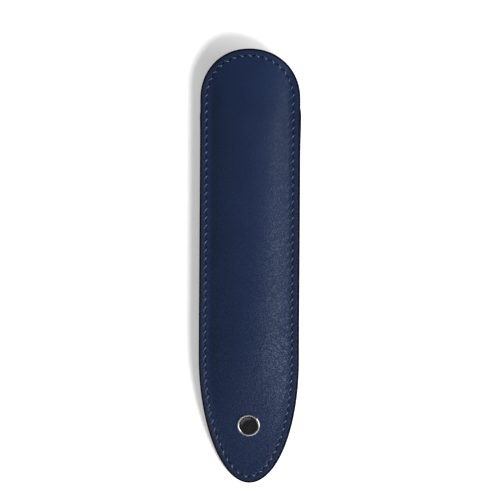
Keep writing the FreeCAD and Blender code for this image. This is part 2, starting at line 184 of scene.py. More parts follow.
# %% [markdown]
# A sewing machine feeds the leather in equal steps, so the stitches are evenly spaced along the seam. The
# edge could be divided evenly by itself, but it is divided like the seam, with the same number of steps for
# each stitch, because the holes and the groove are pressed into the leather later and have to fall on its
# vertices. Only the right half is worked out, and the left mirrors it.

# %% Even steps along the seam
STITCH_INSET = 2.52 * MM
STITCH_PITCH = 3.0 * MM
STEPS_PER_STITCH = 12
HALF_STITCH = STEPS_PER_STITCH // 2
FINE_STEPS = 3000

ways = [WAY_END * step / FINE_STEPS for step in range(FINE_STEPS + 1)]
seam_points = [point - out * STITCH_INSET for point, out, spine in map(edge_at, ways)]
seam_lengths = [0.0]
for first, second in zip(seam_points, seam_points[1:]):
    seam_lengths.append(seam_lengths[-1] + (second - first).length)
stitch_count = round(2 * seam_lengths[-1] / STITCH_PITCH)
half_steps = stitch_count * STEPS_PER_STITCH // 2
step_length = seam_lengths[-1] / half_steps


def way_of(length):
    """The way to a place so far along the seam."""
    index = min(max(bisect.bisect_left(seam_lengths, length), 1), FINE_STEPS)
    low, high = seam_lengths[index - 1], seam_lengths[index]
    return ways[index - 1] + (ways[index] - ways[index - 1]) * (length - low) / (high - low)


print(f"{stitch_count} stitches of {step_length * STEPS_PER_STITCH / MM:.2f} mm round the front")


# %% The rails round the front and the back
def rail_post(step):
    """A post of the rail: edge point, outward direction, place on the spine, distance from the next hole."""
    side = 1 if step <= half_steps else -1
    step = step if side == 1 else 2 * half_steps - step
    point, out, spine = edge_at(way_of(step * step_length))
    along = ((step + HALF_STITCH) % STEPS_PER_STITCH - HALF_STITCH) * step_length
    mirror = Vector((side, 1))
    return point * mirror, out * mirror, spine, side * along


front_rail = [rail_post(step) for step in range(2 * half_steps + 1)]
mouth_step = max(step for step in range(half_steps) if front_rail[step][0].y < MOUTH_Y - COAT)
back_rail = [front_rail[-1 - step] for step in range(mouth_step, 0, -1)] + front_rail[:mouth_step + 1]
print(f"front rail of {len(front_rail)} posts, back rail of {len(back_rail)}, open at the mouth")

# %% [markdown]
# The plies are cut to one outline and glued, so any place on them is told by two numbers: how far along the
# rail, and how far in from the edge. Close to the edge the rows run beside it, so that the seam is
# straight. Past the margin they bend to the spine. A flat panel with the holes cut out would need many
# small faces all over. The back's mouth is a shallow scoop that lets the fingers reach the pen.

# %% Rows and the scooped mouth
INSET_BLEND = 4.4 * MM
MOUTH_SCOOP = 7 * MM
SCOOP_RADIUS = (HALF_WIDTH ** 2 + MOUTH_SCOOP ** 2) / (2 * MOUTH_SCOOP)


def lay(post, inset):
    """The place so far in from the edge. Past the margin the way bends to the spine."""
    point, out, spine, along = post
    margin = point - out * min(inset, INSET_BLEND)
    if inset <= INSET_BLEND:
        return margin
    return margin.lerp(Vector((0, spine)), (inset - INSET_BLEND) / (HALF_WIDTH - INSET_BLEND))


def mouth_sag(x):
    """How far the scooped mouth lies under its two corners."""
    return math.sqrt(SCOOP_RADIUS ** 2 - min(abs(x), HALF_WIDTH) ** 2) - SCOOP_RADIUS + MOUTH_SCOOP


print(f"mouth {mouth_sag(0) / MM:.1f} mm lower in the middle than at its corners")

# %% [markdown]
# Thread pulled tight leaves a shallow groove, a slanted slit at each hole, and light wrinkles between the
# seam and the crown. A bump in the finish could show them, but a mesh that leaves the scene would lose
# them, so they are pressed into the vertices. How much painted shade the groove and the slits get is kept
# with each vertex, and the finish reads it.

# %% The press of the seam
SEAM_DRIFT = 0.2 * MM
GROOVE_DEPTH = 0.1 * MM
GROOVE_WIDTH = 0.55 * MM
GROOVE_SHADE = 0.15
SLIT_DEPTH = 0.28 * MM
SLIT_HALF_LENGTH = 0.85 * MM
SLIT_HALF_WIDTH = 0.2 * MM
SLIT_LEAN = math.radians(27)
PUCKER_HEIGHT = 0.06 * MM
PUCKER_CENTRE = 1.4 * MM
PUCKER_REACH = 1.1 * MM
PUCKER_LEAN = math.radians(38)
PUCKER_PATCH = 9 * MM
PUCKER_SHARE = 0.5


def seam_inset(post):
    """How far in the seam runs at a place: a little further on the right than on the left."""
    return STITCH_INSET + SEAM_DRIFT * post[1].x


def seam_press(post, inset):
    """How deep the seam presses into the leather at a place, and how much painted shade its groove and slits
    get.
    """
    across = inset - seam_inset(post)
    along = post[3]
    groove = math.exp(-(across / GROOVE_WIDTH) ** 2)
    lengthwise = along * math.cos(SLIT_LEAN) + across * math.sin(SLIT_LEAN)
    sideways = across * math.cos(SLIT_LEAN) - along * math.sin(SLIT_LEAN)
    slit = math.exp(-(lengthwise / SLIT_HALF_LENGTH) ** 4 - (sideways / SLIT_HALF_WIDTH) ** 2)
    turn = 2 * math.pi * (along + across / math.tan(PUCKER_LEAN)) / STITCH_PITCH
    patch = PUCKER_SHARE + noise.noise(Vector((*post[0], 0)) / PUCKER_PATCH)
    pucker = patch * math.cos(turn) * math.exp(-((across - PUCKER_CENTRE) / PUCKER_REACH) ** 2)
    press = GROOVE_DEPTH * groove + SLIT_DEPTH * slit - PUCKER_HEIGHT * pucker
    return press, min(1.0, GROOVE_SHADE * groove + slit)


hole = front_rail[STEPS_PER_STITCH]
print(f"the first hole is pressed in by {seam_press(hole, seam_inset(hole))[0] / MM:.2f} mm")

# %% [markdown]
# One tool makes all the plies. A flat grid is rolled round the edge: its columns follow the rail, and its
# rows follow a profile of pairs, how far in from the edge and how deep under the outer face. Rolled up, the
# grid meets itself along the rail's end and along the spine, so doubles are welded. The back's mouth stays
# open after that, and its rim is filled. Below its mouth the back's edge stands out a little.

# %% Roll a ply
SEAM_SHADE_LAYER = "seam_shade"
SCOOP_RUN = 30 * MM
MOUTH_FLARE = 0.28 * MM
FLARE_RUN = 18 * MM
FLARE_START = 3.5 * MM
EASE = 0.05 * MM
EASE_SPAN = 16 * MM
EASE_FROM_EDGE = HALF_WIDTH / 2


def roll_ply(mesh, rail, profile, front, pressed_depth=None):
    """Rolls a grid round the rail. Rows at the pressed depth take the seam. Nothing sinks into the table."""
    seam_shade = mesh.verts.layers.float.get(SEAM_SHADE_LAYER) or mesh.verts.layers.float.new(SEAM_SHADE_LAYER)
    made = bmesh.ops.create_grid(mesh, x_segments=len(rail) - 1, y_segments=len(profile) - 1, size=0.5)
    for index, vert in enumerate(made["verts"]):
        post = rail[index % len(rail)]
        inset, depth = profile[index // len(rail)]
        x, y = lay(post, inset)
        if not front:
            below = MOUTH_Y - y
            flare = MOUTH_FLARE * growth(1 - below / FLARE_RUN) * growth(below / FLARE_START)
            x += x / HALF_WIDTH * flare
            y -= mouth_sag(x) * growth(1 + (y - MOUTH_Y) / SCOOP_RUN)
        z = leather_height(x, y, front, depth)
        z += EASE * noise.noise(Vector((x, y, 0)) / EASE_SPAN) * min(1.0, inset / EASE_FROM_EDGE)
        if depth == pressed_depth:
            press, dark = seam_press(post, inset)
            outward = front == (depth == 0)
            z += -press if outward else press
            vert[seam_shade] = dark
        vert.co = (x, y, max(z, 0.0))


print(f"ply tool ready, with a flare of {MOUTH_FLARE / MM:.2f} mm under the mouth at most")

# %% Weld a mesh into a piece
WELD = 0.002 * MM


def close_mesh(mesh):
    """Welds doubles, fills open rims and turns the faces outwards."""
    bmesh.ops.remove_doubles(mesh, verts=mesh.verts, dist=WELD)
    rims = [edge for edge in mesh.edges if edge.is_boundary]
    if rims:
        bmesh.ops.holes_fill(mesh, edges=rims, sides=0)
    bmesh.ops.recalc_face_normals(mesh, faces=mesh.faces)


def finish_mesh(mesh, name, material):
    """Turns a bmesh into a smooth closed piece."""
    close_mesh(mesh)
    for face in mesh.faces:
        face.smooth = True
    data = bpy.data.meshes.new(name)
    mesh.to_mesh(data)
    mesh.free()
    data.materials.append(material)
    piece = bpy.data.objects.new(name, data)
    bpy.context.scene.collection.objects.link(piece)
    print(f"{name}: {len(data.vertices)} vertices, {len(data.polygons)} faces")
    return piece


print(f"vertices closer than {WELD / MM:.3f} mm are welded")

# %% [markdown]
# Materials are made from a handful of nodes each. A node editor shows them as boxes and wires, but in a
# script the wires are hard to follow. Small helpers set a node's values and links in one line, so that a
# finish reads like a recipe: what the pattern is, how large it is, and where it goes. Where a socket gets a
# pattern, its own value is about the pattern's average, for programs that don't read patterns.


# %% Nodes and shaders
def add_node(tree, kind, inputs=None, **settings):
    """A node with its settings, and its inputs set or linked."""
    node = tree.nodes.new(kind)
    for name, value in settings.items():
        setattr(node, name, value)
    for name, value in (inputs or {}).items():
        if isinstance(value, bpy.types.NodeSocket):
            tree.links.new(value, node.inputs[name])
        else:
            node.inputs[name].default_value = value
    return node


def new_finish(name, **sockets):
    """A material with its shader, whose plain values are set on its own sockets."""
    material = bpy.data.materials.new(name)
    material.use_nodes = True
    shader = material.node_tree.nodes["Principled BSDF"]
    for socket, value in sockets.items():
        shader.inputs[socket.replace("_", " ")].default_value = value
    return material, material.node_tree, shader


def feed(tree, shader, **sockets):
    """Links patterns to the shader's sockets."""
    for socket, pattern in sockets.items():
        tree.links.new(pattern, shader.inputs[socket.replace("_", " ")])


print("nodes and shaders ready")


# %% Patterns
def place_on(tree):
    """The place on the object, in metres."""
    return add_node(tree, "ShaderNodeTexCoord").outputs["Object"]


def clouds(tree, place, size, detail, **settings):
    """Soft patches of about one size, with finer ones in them."""
    inputs = {"Vector": place, "Scale": 1 / size, "Detail": detail}
    return add_node(tree, "ShaderNodeTexNoise", inputs, **settings).outputs["Fac"]


def cells(tree, place, size):
    """Distance from the middle of the nearest of many small cells."""
    return add_node(tree, "ShaderNodeTexVoronoi", {"Vector": place, "Scale": 1 / size}).outputs["Distance"]


def painted_seam_shade(tree):
    """Painted shade in the seam's groove and slits, as the piece's own vertices say."""
    return add_node(tree, "ShaderNodeAttribute", attribute_name=SEAM_SHADE_LAYER).outputs["Fac"]


print("patterns ready")


# %% Mixing and relief
def mixed(tree, factor, first, second):
    """A colour between two others."""
    node = add_node(tree, "ShaderNodeMix", {0: factor, 6: first, 7: second}, data_type="RGBA")
    return node.outputs[2]


def ranged(tree, value, limits, results=(0.0, 1.0)):
    """A value brought smoothly from one range to another."""
    inputs = {"Value": value, "From Min": limits[0], "From Max": limits[1]}
    inputs.update({"To Min": results[0], "To Max": results[1]})
    return add_node(tree, "ShaderNodeMapRange", inputs, interpolation_type="SMOOTHSTEP").outputs["Result"]


def raised(tree, height, distance, strength, under=None):
    """A bump so high, laid over another one."""
    inputs = {"Height": height, "Distance": distance, "Strength": strength}
    if under is not None:
        inputs["Normal"] = under
    return add_node(tree, "ShaderNodeBump", inputs).outputs["Normal"]


MIDDLE = (0.3, 0.7)
FALLING = (1.0, 0.0)
print("mixing and relief ready")

# %% [markdown]
# The leather is smooth calf, dyed navy through and through. Under a raking light it shows a crinkle: fine
# raised lines about a millimetre apart, polished by handling, with a finer tooth on them, and here and
# there a pore. An image could give that, but noise in object space has the right size all over and no
# seams. Its zero lines make the crinkle.

# %% Navy calf and its patterns
CRINKLE = 0.8 * MM
TOOTH = 0.16 * MM
PORE_SPACING = 1.7 * MM
PORE_RIM = (0.05, 0.14)
CLOUD = 14 * MM
SHEEN_TINT = (0.85, 0.93, 1, 1)

calf, tree, shader = new_finish("navy_calf", Roughness=0.41, Specular_Tint=SHEEN_TINT)
place = place_on(tree)
waves = clouds(tree, place, CRINKLE, detail=1.0, normalize=False)
off_line = add_node(tree, "ShaderNodeMath", {0: waves}, operation="ABSOLUTE").outputs[0]
tooth = clouds(tree, place, TOOTH, detail=2.0)
pore = ranged(tree, cells(tree, place, PORE_SPACING), PORE_RIM)
cloud = clouds(tree, place, CLOUD, detail=4.0)
up_the_sleeve = add_node(tree, "ShaderNodeSeparateXYZ", {"Vector": place}).outputs["Y"]
print(f"navy calf, crinkle of {CRINKLE / MM:.2f} mm")

# %% [markdown]
# Dye takes unevenly, in clouds so faint that they hardly show. Painted shade darkens the tip a little, to
# tone down the lamp's light on its slope, and makes the seam's groove and slits nearly black. Three mixes
# after each other give that. One colour ramp could not, because each darkening follows something else.

# %% Dye of the calf, with painted shade
NAVY = (0.0092, 0.0171, 0.0452, 1)
NAVY_DEEP = (0.0083, 0.0154, 0.041, 1)
NAVY_TIP_SHADE = (0.0074, 0.0137, 0.0362, 1)
NAVY_SEAM_SHADE = (0.004, 0.007, 0.017, 1)
TIP_SHADE_SPAN = (-45 * MM, -5 * MM)
TIP_SHADE_SHARE = (0.75, 0.0)
SEAM_SHADE_RANGE = (0.05, 0.9)
SEAM_SHADE_SHARE = (0.0, 0.92)

dye_and_shade = mixed(tree, ranged(tree, cloud, MIDDLE), NAVY_DEEP, NAVY)
# Painted shade: darker towards the tip, to tone down the lamp's light on the tip's slope.
dye_and_shade = mixed(tree, ranged(tree, up_the_sleeve, TIP_SHADE_SPAN, TIP_SHADE_SHARE), dye_and_shade, NAVY_TIP_SHADE)
# Painted shade: the seam's groove and slits are made nearly black.
dye_and_shade = mixed(tree, ranged(tree, painted_seam_shade(tree), SEAM_SHADE_RANGE, SEAM_SHADE_SHARE), dye_and_shade, NAVY_SEAM_SHADE)
feed(tree, shader, Base_Color=dye_and_shade)
print(f"dye darkens below {TIP_SHADE_SPAN[1] / MM:.0f} mm and in the press of the seam")

# %% [markdown]
# The crinkle's lines are glossy and the hollows between them are dull. Both the gloss and the relief fade
# on the way up to the tab, where the leather isn't stretched over a form. The tooth and the pores lie over
# the crinkle as finer bumps. Real displacement would do the same with millions of faces.

# %% Gloss and relief of the calf
STRETCHED = (-40 * MM, 85 * MM)
STRETCHED_SHARE = (1.0, 0.15)
GLOSSY_LINE = (0.0, 0.2)
LINE_GLOSS = (0.52, 0.08)
SMOOTH = (50 * MM, 72 * MM)
SMOOTH_GLOSS = (0.1, 0.035)
ROUGH_CLOUD = (0.25, 0.75)
CALF_ROUGHNESS = (0.38, 0.44)
RAISED_LINE = (0.0, 0.4)
CRINKLE_HEIGHT = 0.03 * MM
TOOTH_HEIGHT = 0.012 * MM
TOOTH_STRENGTH = 1.0
PORE_DEPTH = 0.03 * MM
PORE_STRENGTH = 0.5

stretched = ranged(tree, up_the_sleeve, STRETCHED, STRETCHED_SHARE)
line_gloss = ranged(tree, off_line, GLOSSY_LINE, LINE_GLOSS)
smooth_gloss = ranged(tree, up_the_sleeve, SMOOTH, SMOOTH_GLOSS)
gloss = add_node(tree, "ShaderNodeMix", {0: stretched, 2: smooth_gloss, 3: line_gloss}, data_type="FLOAT")
skin = raised(tree, ranged(tree, off_line, RAISED_LINE, FALLING), CRINKLE_HEIGHT, stretched)
skin = raised(tree, tooth, TOOTH_HEIGHT, TOOTH_STRENGTH, skin)
skin = raised(tree, pore, PORE_DEPTH, PORE_STRENGTH, skin)
rough = ranged(tree, cloud, ROUGH_CLOUD, CALF_ROUGHNESS)
feed(tree, shader, Specular_IOR_Level=gloss.outputs[0], Roughness=rough, Normal=skin)
print(f"crinkle {CRINKLE_HEIGHT / MM:.2f} mm high, tooth {TOOTH_HEIGHT / MM:.3f} mm")

# %% [markdown]
# The linings are thin black leather, finer and duller than the calf: small round cells with faint patches.
# The calf's own finish in black could stand in, but its gloss would show in the mouth.

# %% Black lining
LINING_CELL = 0.35 * MM
LINING_PATCH = 9 * MM
LINING_BLACK = (0.006, 0.006, 0.008, 1)
LINING_WORN = (0.011, 0.011, 0.013, 1)
LINING_SEAM_SHADE = (0.002, 0.002, 0.002, 1)
CELL_DOME = (0.1, 0.8)
CELL_HEIGHT = 0.03 * MM
CELL_STRENGTH = 0.5

lining_leather, tree, shader = new_finish("black_lining", Roughness=0.62, Specular_IOR_Level=0.35)
place = place_on(tree)
patch = clouds(tree, place, LINING_PATCH, detail=3.0)
black = mixed(tree, ranged(tree, patch, MIDDLE), LINING_BLACK, LINING_WORN)
# Painted shade: the seam's groove and slits on the lining are made darker.
black = mixed(tree, ranged(tree, painted_seam_shade(tree), SEAM_SHADE_RANGE), black, LINING_SEAM_SHADE)
dome = ranged(tree, cells(tree, place, LINING_CELL), CELL_DOME, FALLING)
feed(tree, shader, Base_Color=black, Normal=raised(tree, dome, CELL_HEIGHT, CELL_STRENGTH))
print(f"black lining with cells of {LINING_CELL / MM:.2f} mm")

# %% [markdown]
# The edge is painted black in several coats and rubbed between them, so it is nearly smooth, with a low
# gloss. A plain black would do from afar. Up close the rubbing shows as small patches, in the colour and in
# the gloss.

# %% Edge paint
RUBBED_PATCH = 1.2 * MM
PAINT_BLACK = (0.0014, 0.0014, 0.0016, 1)
PAINT_RUBBED = (0.0028, 0.0028, 0.0032, 1)
PAINT_ROUGHNESS = (0.42, 0.56)
RUBBED_HEIGHT = 0.03 * MM
RUBBED_STRENGTH = 0.4

edge_paint, tree, shader = new_finish("edge_paint", Roughness=0.5, Specular_IOR_Level=0.03)
rubbed = clouds(tree, place_on(tree), RUBBED_PATCH, detail=3.0)
black = mixed(tree, rubbed, PAINT_BLACK, PAINT_RUBBED)
rough = ranged(tree, rubbed, MIDDLE, PAINT_ROUGHNESS)
feed(tree, shader, Base_Color=black, Roughness=rough)
feed(tree, shader, Normal=raised(tree, rubbed, RUBBED_HEIGHT, RUBBED_STRENGTH))
print(f"edge paint rubbed in patches of {RUBBED_PATCH / MM:.1f} mm")

# %% [markdown]
# The front panel is the piece that the photograph shows. Its profile starts on the spine, runs out over the
# crown and the shoulder, gets closer rows at the seam, turns over the rounded rim and goes back underneath
# in a few wide rows, because nobody sees those. Rows as close as the seam's all over would need far more
# faces.

# %% Rows of a panel
SPINE = HALF_WIDTH
SEAM_SPAN = 1.5 * MM
EVEN_SHARE = 0.35
RIM_ROUND = 0.45 * MM
CROWN_ROWS = 26
SEAM_ROWS = 21
RIM_ROWS = 6
HIDDEN_ROWS = 5


def spread(first, last, count):
    """Evenly spread values, both ends among them."""
    return [first + (last - first) * step / (count - 1) for step in range(count)]


def gathered(share):
    """The same ends as before, but closer to the middle in between."""
    return EVEN_SHARE * share + (1 - EVEN_SHARE) * share ** 3


seam_rows = [STITCH_INSET + SEAM_SPAN * gathered(share) for share in spread(1, -1, SEAM_ROWS)]
rim_rows = [
    (COAT + RIM_ROUND * (1 - math.sin(angle)), RIM_ROUND * (1 - math.cos(angle)))
    for angle in spread(0, math.pi / 2, RIM_ROWS)
]
hidden_insets = spread(INSET_BLEND, SPINE, HIDDEN_ROWS)
outer_insets = spread(SPINE, INSET_BLEND, CROWN_ROWS) + seam_rows
outer_rows = [(inset, 0.0) for inset in outer_insets] + rim_rows
under_rows = [(inset, LEATHER) for inset in (COAT, SEAM_MARGIN / 4, STITCH_INSET, *hidden_insets)]
print(f"{len(outer_rows)} rows outside, {len(seam_rows)} of them at the seam, {len(under_rows)} underneath")

# %% Front panel
mesh = bmesh.new()
roll_ply(mesh, front_rail, outer_rows + under_rows, front=True, pressed_depth=0.0)
front_panel = finish_mesh(mesh, "front_leather", calf)

# %% [markdown]
# The back panel is the same leather with its face down. It could be a copy of the front, cut across, but
# near the mouth its rows bend into the scoop instead, so that the mouth's edge is a row of the mesh.

# %% Back panel
mesh = bmesh.new()
roll_ply(mesh, back_rail, outer_rows + under_rows, front=False, pressed_depth=0.0)
back_panel = finish_mesh(mesh, "back_leather", calf)

# %% [markdown]
# Each panel is lined. The front's lining shows on the inside of the tab, with the seam sewn through it, so
# it has close rows there too. The back's lining shows only inside the mouth, and gets every third post of
# its rail and no rows for the seam.

# %% Linings
THINNED = 3
LINING_ROWS = 12
crown_rows = [(inset, STACK) for inset in spread(SPINE, INSET_BLEND, LINING_ROWS)]
sewn_rows = [(inset, STACK) for inset in seam_rows]
margin_rows = [(COAT, STACK)]
glued_rows = [(inset, LEATHER) for inset in (COAT, STITCH_INSET, *hidden_insets)]
back_thin_rail = back_rail[::THINNED] + back_rail[-1:]

mesh = bmesh.new()
roll_ply(mesh, front_rail, crown_rows + sewn_rows + margin_rows + glued_rows, front=True, pressed_depth=STACK)
front_lining = finish_mesh(mesh, "front_lining_leather", lining_leather)

mesh = bmesh.new()
roll_ply(mesh, back_thin_rail, crown_rows + sewn_rows[:1] + margin_rows + glued_rows, front=False)
back_lining = finish_mesh(mesh, "back_lining_leather", lining_leather)

# %% [markdown]
# Edge paint stands a little proud of the leather and is round like a bead. A bevelled curve would lie on
# the edge but not follow the depth of the plies. So its profile is a closed loop, half of it hidden in the
# plies, and the ply tool rolls it round the rail.

# %% Painted edge of the front
BEAD_WIDTH = 0.66 * MM
BEAD_BACK = 1.2
BEAD_TOP = 0.03 * MM
BEAD_ROWS = 11
bead_middle, bead_half = (STACK + BEAD_TOP) / 2, (STACK - BEAD_TOP) / 2
bead_rows = [
    (BEAD_WIDTH * (1 - math.sqrt(math.sin(angle))), bead_middle - bead_half * math.cos(angle))
    for angle in spread(0, math.pi, BEAD_ROWS)
]
bead_rows += [(BEAD_WIDTH * BEAD_BACK, bead_middle), bead_rows[0]]

mesh = bmesh.new()
roll_ply(mesh, front_rail[::THINNED], bead_rows, front=True)
front_edge = finish_mesh(mesh, "front_edge_paint", edge_paint)

# %% [markdown]
# The back's bead also runs along the mouth. The rail ends there, so the mouth gets a grid of its own, bent
# along the scoop with the same profile, and both are one piece.

# %% Painted edge of the back
MOUTH_STEPS = 160
mesh = bmesh.new()
roll_ply(mesh, back_thin_rail, bead_rows, front=False)
made = bmesh.ops.create_grid(mesh, x_segments=MOUTH_STEPS, y_segments=len(bead_rows) - 1, size=0.5)
for index, vert in enumerate(made["verts"]):
    across = 2 * (index % (MOUTH_STEPS + 1)) / MOUTH_STEPS - 1
    inset, depth = bead_rows[index // (MOUTH_STEPS + 1)]
    x = across * (HALF_WIDTH - COAT)
    slope = x / math.sqrt(SCOOP_RADIUS ** 2 - x ** 2)
    y = MOUTH_Y - mouth_sag(x) - inset * math.hypot(1, slope)
    vert.co = (x, y, leather_height(x, y, False, depth))
back_edge = finish_mesh(mesh, "back_edge_paint", edge_paint)

# %% [markdown]
# The thread is a twisted pair, waxed, in navy, so it glints more than the leather. Two strands could be
# modelled, but at half a millimetre only the slanted bands between them show. A wave on the stitch's own
# map gives those as a bump and as painted shade in the hollows between the strands, and runs round it.

# %% Navy thread
TWIST_SCALE = 1.1
TWIST_WANDER = 0.6
TWIST_HEIGHT = 0.06 * MM
TWIST_STRENGTH = 0.5
THREAD_HOLLOW_SHADE = (0.018, 0.029, 0.068, 1)
THREAD_STRAND = (0.034, 0.047, 0.094, 1)
THREAD_MAP = "thread"

thread_finish, tree, shader = new_finish(
    "navy_thread", Roughness=0.3, Specular_IOR_Level=1.0, Coat_Weight=0.3, Coat_Roughness=0.3
)
around = add_node(tree, "ShaderNodeUVMap", uv_map=THREAD_MAP).outputs["UV"]
twist = add_node(
    tree,
    "ShaderNodeTexWave",
    {"Vector": around, "Scale": TWIST_SCALE, "Distortion": TWIST_WANDER, "Detail": 1.0},
    wave_type="BANDS",
    bands_direction="DIAGONAL",
).outputs["Fac"]
# Painted shade: the hollows between the strands are darker.
feed(tree, shader, Base_Color=mixed(tree, twist, THREAD_HOLLOW_SHADE, THREAD_STRAND))
feed(tree, shader, Normal=raised(tree, twist, TWIST_HEIGHT, TWIST_STRENGTH))
print(f"navy thread, twist {TWIST_HEIGHT / MM:.2f} mm high")

# %% [markdown]
# One stitch is a short arched tube whose ends dive into the holes. A curve with a bevel would do, but there
# are over two hundred of them, so one grid of a few dozen faces is rolled into a tube, and copies are set
# along the seam.

# %% One stitch
THREAD_HALF_WIDTH = 0.3 * MM
THREAD_HALF_HEIGHT = 0.2 * MM
THREAD_TAPER = 0.3
STITCH_SPAN = 2.1 * MM
STITCH_ARCH = 0.55 * MM
ARCH_SHARE = 0.25
TUBE_RINGS = 8
TUBE_SIDES = 6

tube = bmesh.new()
tube.loops.layers.uv.new(THREAD_MAP)
bmesh.ops.create_grid(tube, x_segments=TUBE_RINGS, y_segments=TUBE_SIDES, size=0.5, calc_uvs=True)
for vert in tube.verts:
    along, angle = 2 * vert.co.x, 2 * math.pi * vert.co.y
    taper = 1 - THREAD_TAPER * along ** 4
    vert.co = (
        along * STITCH_SPAN / 2,
        taper * THREAD_HALF_WIDTH * math.sin(angle),
        STITCH_ARCH * (ARCH_SHARE - along ** 2) + taper * THREAD_HALF_HEIGHT * math.cos(angle),
    )
close_mesh(tube)
stitch_data = bpy.data.meshes.new("stitch_tube")
tube.to_mesh(stitch_data)
tube.free()
print(f"one stitch has {len(stitch_data.polygons)} faces")

# %% [markdown]
# A leather needle cuts slanted slits, so each stitch leans from the line of the seam. It lies on the slope
# of the leather, in the middle between two holes. Instances on points could do this too, but the slope is
# already known from the form, so each copy is turned by a matrix.

# %% The needle
STITCH_LEAN = math.radians(36)


def sew(mesh, step, front, depth):
    """Sets one stitch in the middle between two holes, leaning from the line of the seam."""
    before, after = rail_post(step - 1), rail_post(step + 1)
    first, last = lay(before, seam_inset(before)), lay(after, seam_inset(after))
    middle = (first + last) / 2
    upward = front == (depth == 0)
    lean = Matrix.Rotation(-STITCH_LEAN if upward else STITCH_LEAN, 2)
    ahead = lean @ (last - first).normalized()
    aside = Vector((-ahead.y, ahead.x))

    def on_leather(place):
        return Vector((place.x, place.y, leather_height(place.x, place.y, front, depth)))

    reach = STITCH_SPAN / 2
    along = (on_leather(middle + ahead * reach) - on_leather(middle - ahead * reach)).normalized()
    across = (on_leather(middle + aside * reach / 2) - on_leather(middle - aside * reach / 2)).normalized()
    up = along.cross(across).normalized()
    if not upward:
        up = -up
    side = up.cross(along)
    turn = Matrix((along, side, up)).transposed().to_4x4()
    start = len(mesh.verts)
    mesh.from_mesh(stitch_data)
    mesh.verts.ensure_lookup_table()
    seat = Matrix.Translation(on_leather(middle)) @ turn
    bmesh.ops.transform(mesh, matrix=seat, verts=mesh.verts[start:])


print(f"stitches lean by {math.degrees(STITCH_LEAN):.0f} degrees")

# %% [markdown]
# The needle thread is seen on the front. The bobbin thread is seen on the back, and above the mouth on the
# inside of the tab, where the front is sewn alone. At the mouth's corners it passes from one to the other
# inside the plies, so no stitch is set there.

# %% Front and back stitches
stitch_steps = range(HALF_STITCH, 2 * half_steps, STEPS_PER_STITCH)
mesh = bmesh.new()
for step in stitch_steps:
    sew(mesh, step, front=True, depth=0.0)
front_stitches = finish_mesh(mesh, "front_thread", thread_finish)

rim_y = MOUTH_Y - mouth_sag(HALF_WIDTH - STITCH_INSET)
mesh = bmesh.new()
for step in stitch_steps:
    y = lay(front_rail[step], STITCH_INSET).y
    if y < rim_y - STITCH_PITCH:
        sew(mesh, step, front=False, depth=0.0)
    elif y > rim_y + STITCH_PITCH:
        sew(mesh, step, front=True, depth=STACK)
back_stitches = finish_mesh(mesh, "back_thread", thread_finish)

# %% [markdown]
# The stud is a steel cup with a glossy black disc in it. Polish is never even: fine wear changes how bright
# and how sharp the steel mirrors the room, and enamel that has flowed and set has the same in a softer way.
# A clouded roughness gives both without a scratch to draw.

# %% Polished steel and black enamel
STEEL_WEAR = 0.5 * MM
STEEL_DULL = (0.60, 0.60, 0.61, 1)
STEEL_BRIGHT = (0.72, 0.72, 0.73, 1)
STEEL_ROUGHNESS = (0.12, 0.2)
ENAMEL_FLOW = 2.5 * MM
ENAMEL_BLACK = (0.004, 0.004, 0.004, 1)
ENAMEL_THIN = (0.008, 0.008, 0.009, 1)
ENAMEL_ROUGHNESS = (0.08, 0.14)

steel, tree, shader = new_finish("polished_steel", Metallic=1.0, Roughness=0.16)
wear = clouds(tree, place_on(tree), STEEL_WEAR, detail=3.0)
feed(tree, shader, Base_Color=mixed(tree, wear, STEEL_DULL, STEEL_BRIGHT))
feed(tree, shader, Roughness=ranged(tree, wear, MIDDLE, STEEL_ROUGHNESS))

enamel, tree, shader = new_finish("black_enamel", Roughness=0.1, Specular_IOR_Level=0.35)
flow = clouds(tree, place_on(tree), ENAMEL_FLOW, detail=2.0)
feed(tree, shader, Base_Color=mixed(tree, flow, ENAMEL_BLACK, ENAMEL_THIN))
feed(tree, shader, Roughness=ranged(tree, flow, MIDDLE, ENAMEL_ROUGHNESS))
print(f"steel worn in patches of {STEEL_WEAR / MM:.1f} mm, enamel flowed in {ENAMEL_FLOW / MM:.1f} mm")

# %% [markdown]
# The stud sits on the slope of the tip, riveted through the leather. Turned pieces are spun from half their
# section, as on a lathe. A cylinder with bevels would come close, but a spun section has the brim, the seat
# and the well in one go, and stays perfectly round.

# %% The lathe
bezel_low, bezel_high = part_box("stud_bezel")
washer_low, washer_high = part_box("stud_washer")
STUD_RADIUS = (bezel_high.x - bezel_low.x) / 2
STUD_Y = (washer_low.y + washer_high.y) / 2
STUD_STEPS = 96
above = leather_height(0, STUD_Y + STUD_RADIUS, True)
beneath = leather_height(0, STUD_Y - STUD_RADIUS, True)
stud_slope = math.atan2(above - beneath, 2 * STUD_RADIUS)
stud_seat = Matrix.Translation((0, STUD_Y, leather_height(0, STUD_Y, True)))
stud_place = stud_seat @ Matrix.Rotation(stud_slope, 4, "X")


def turn_piece(name, outline, material):
    """Spins half a section, pairs of radius and height, into a round piece at the stud's place."""
    mesh = bmesh.new()
    verts = [mesh.verts.new((radius, 0, height)) for radius, height in outline]
    edges = [mesh.edges.new(pair) for pair in zip(verts, verts[1:])]
    bmesh.ops.spin(
        mesh,
        geom=verts + edges,
        axis=(0, 0, 1),
        cent=(0, 0, 0),
        angle=2 * math.pi,
        steps=STUD_STEPS,
        use_merge=True,
    )
    bmesh.ops.transform(mesh, matrix=stud_place, verts=mesh.verts)
    return finish_mesh(mesh, name, material)


print(f"stud {2 * STUD_RADIUS / MM:.1f} mm across, tilted by {math.degrees(stud_slope):.0f} degrees")

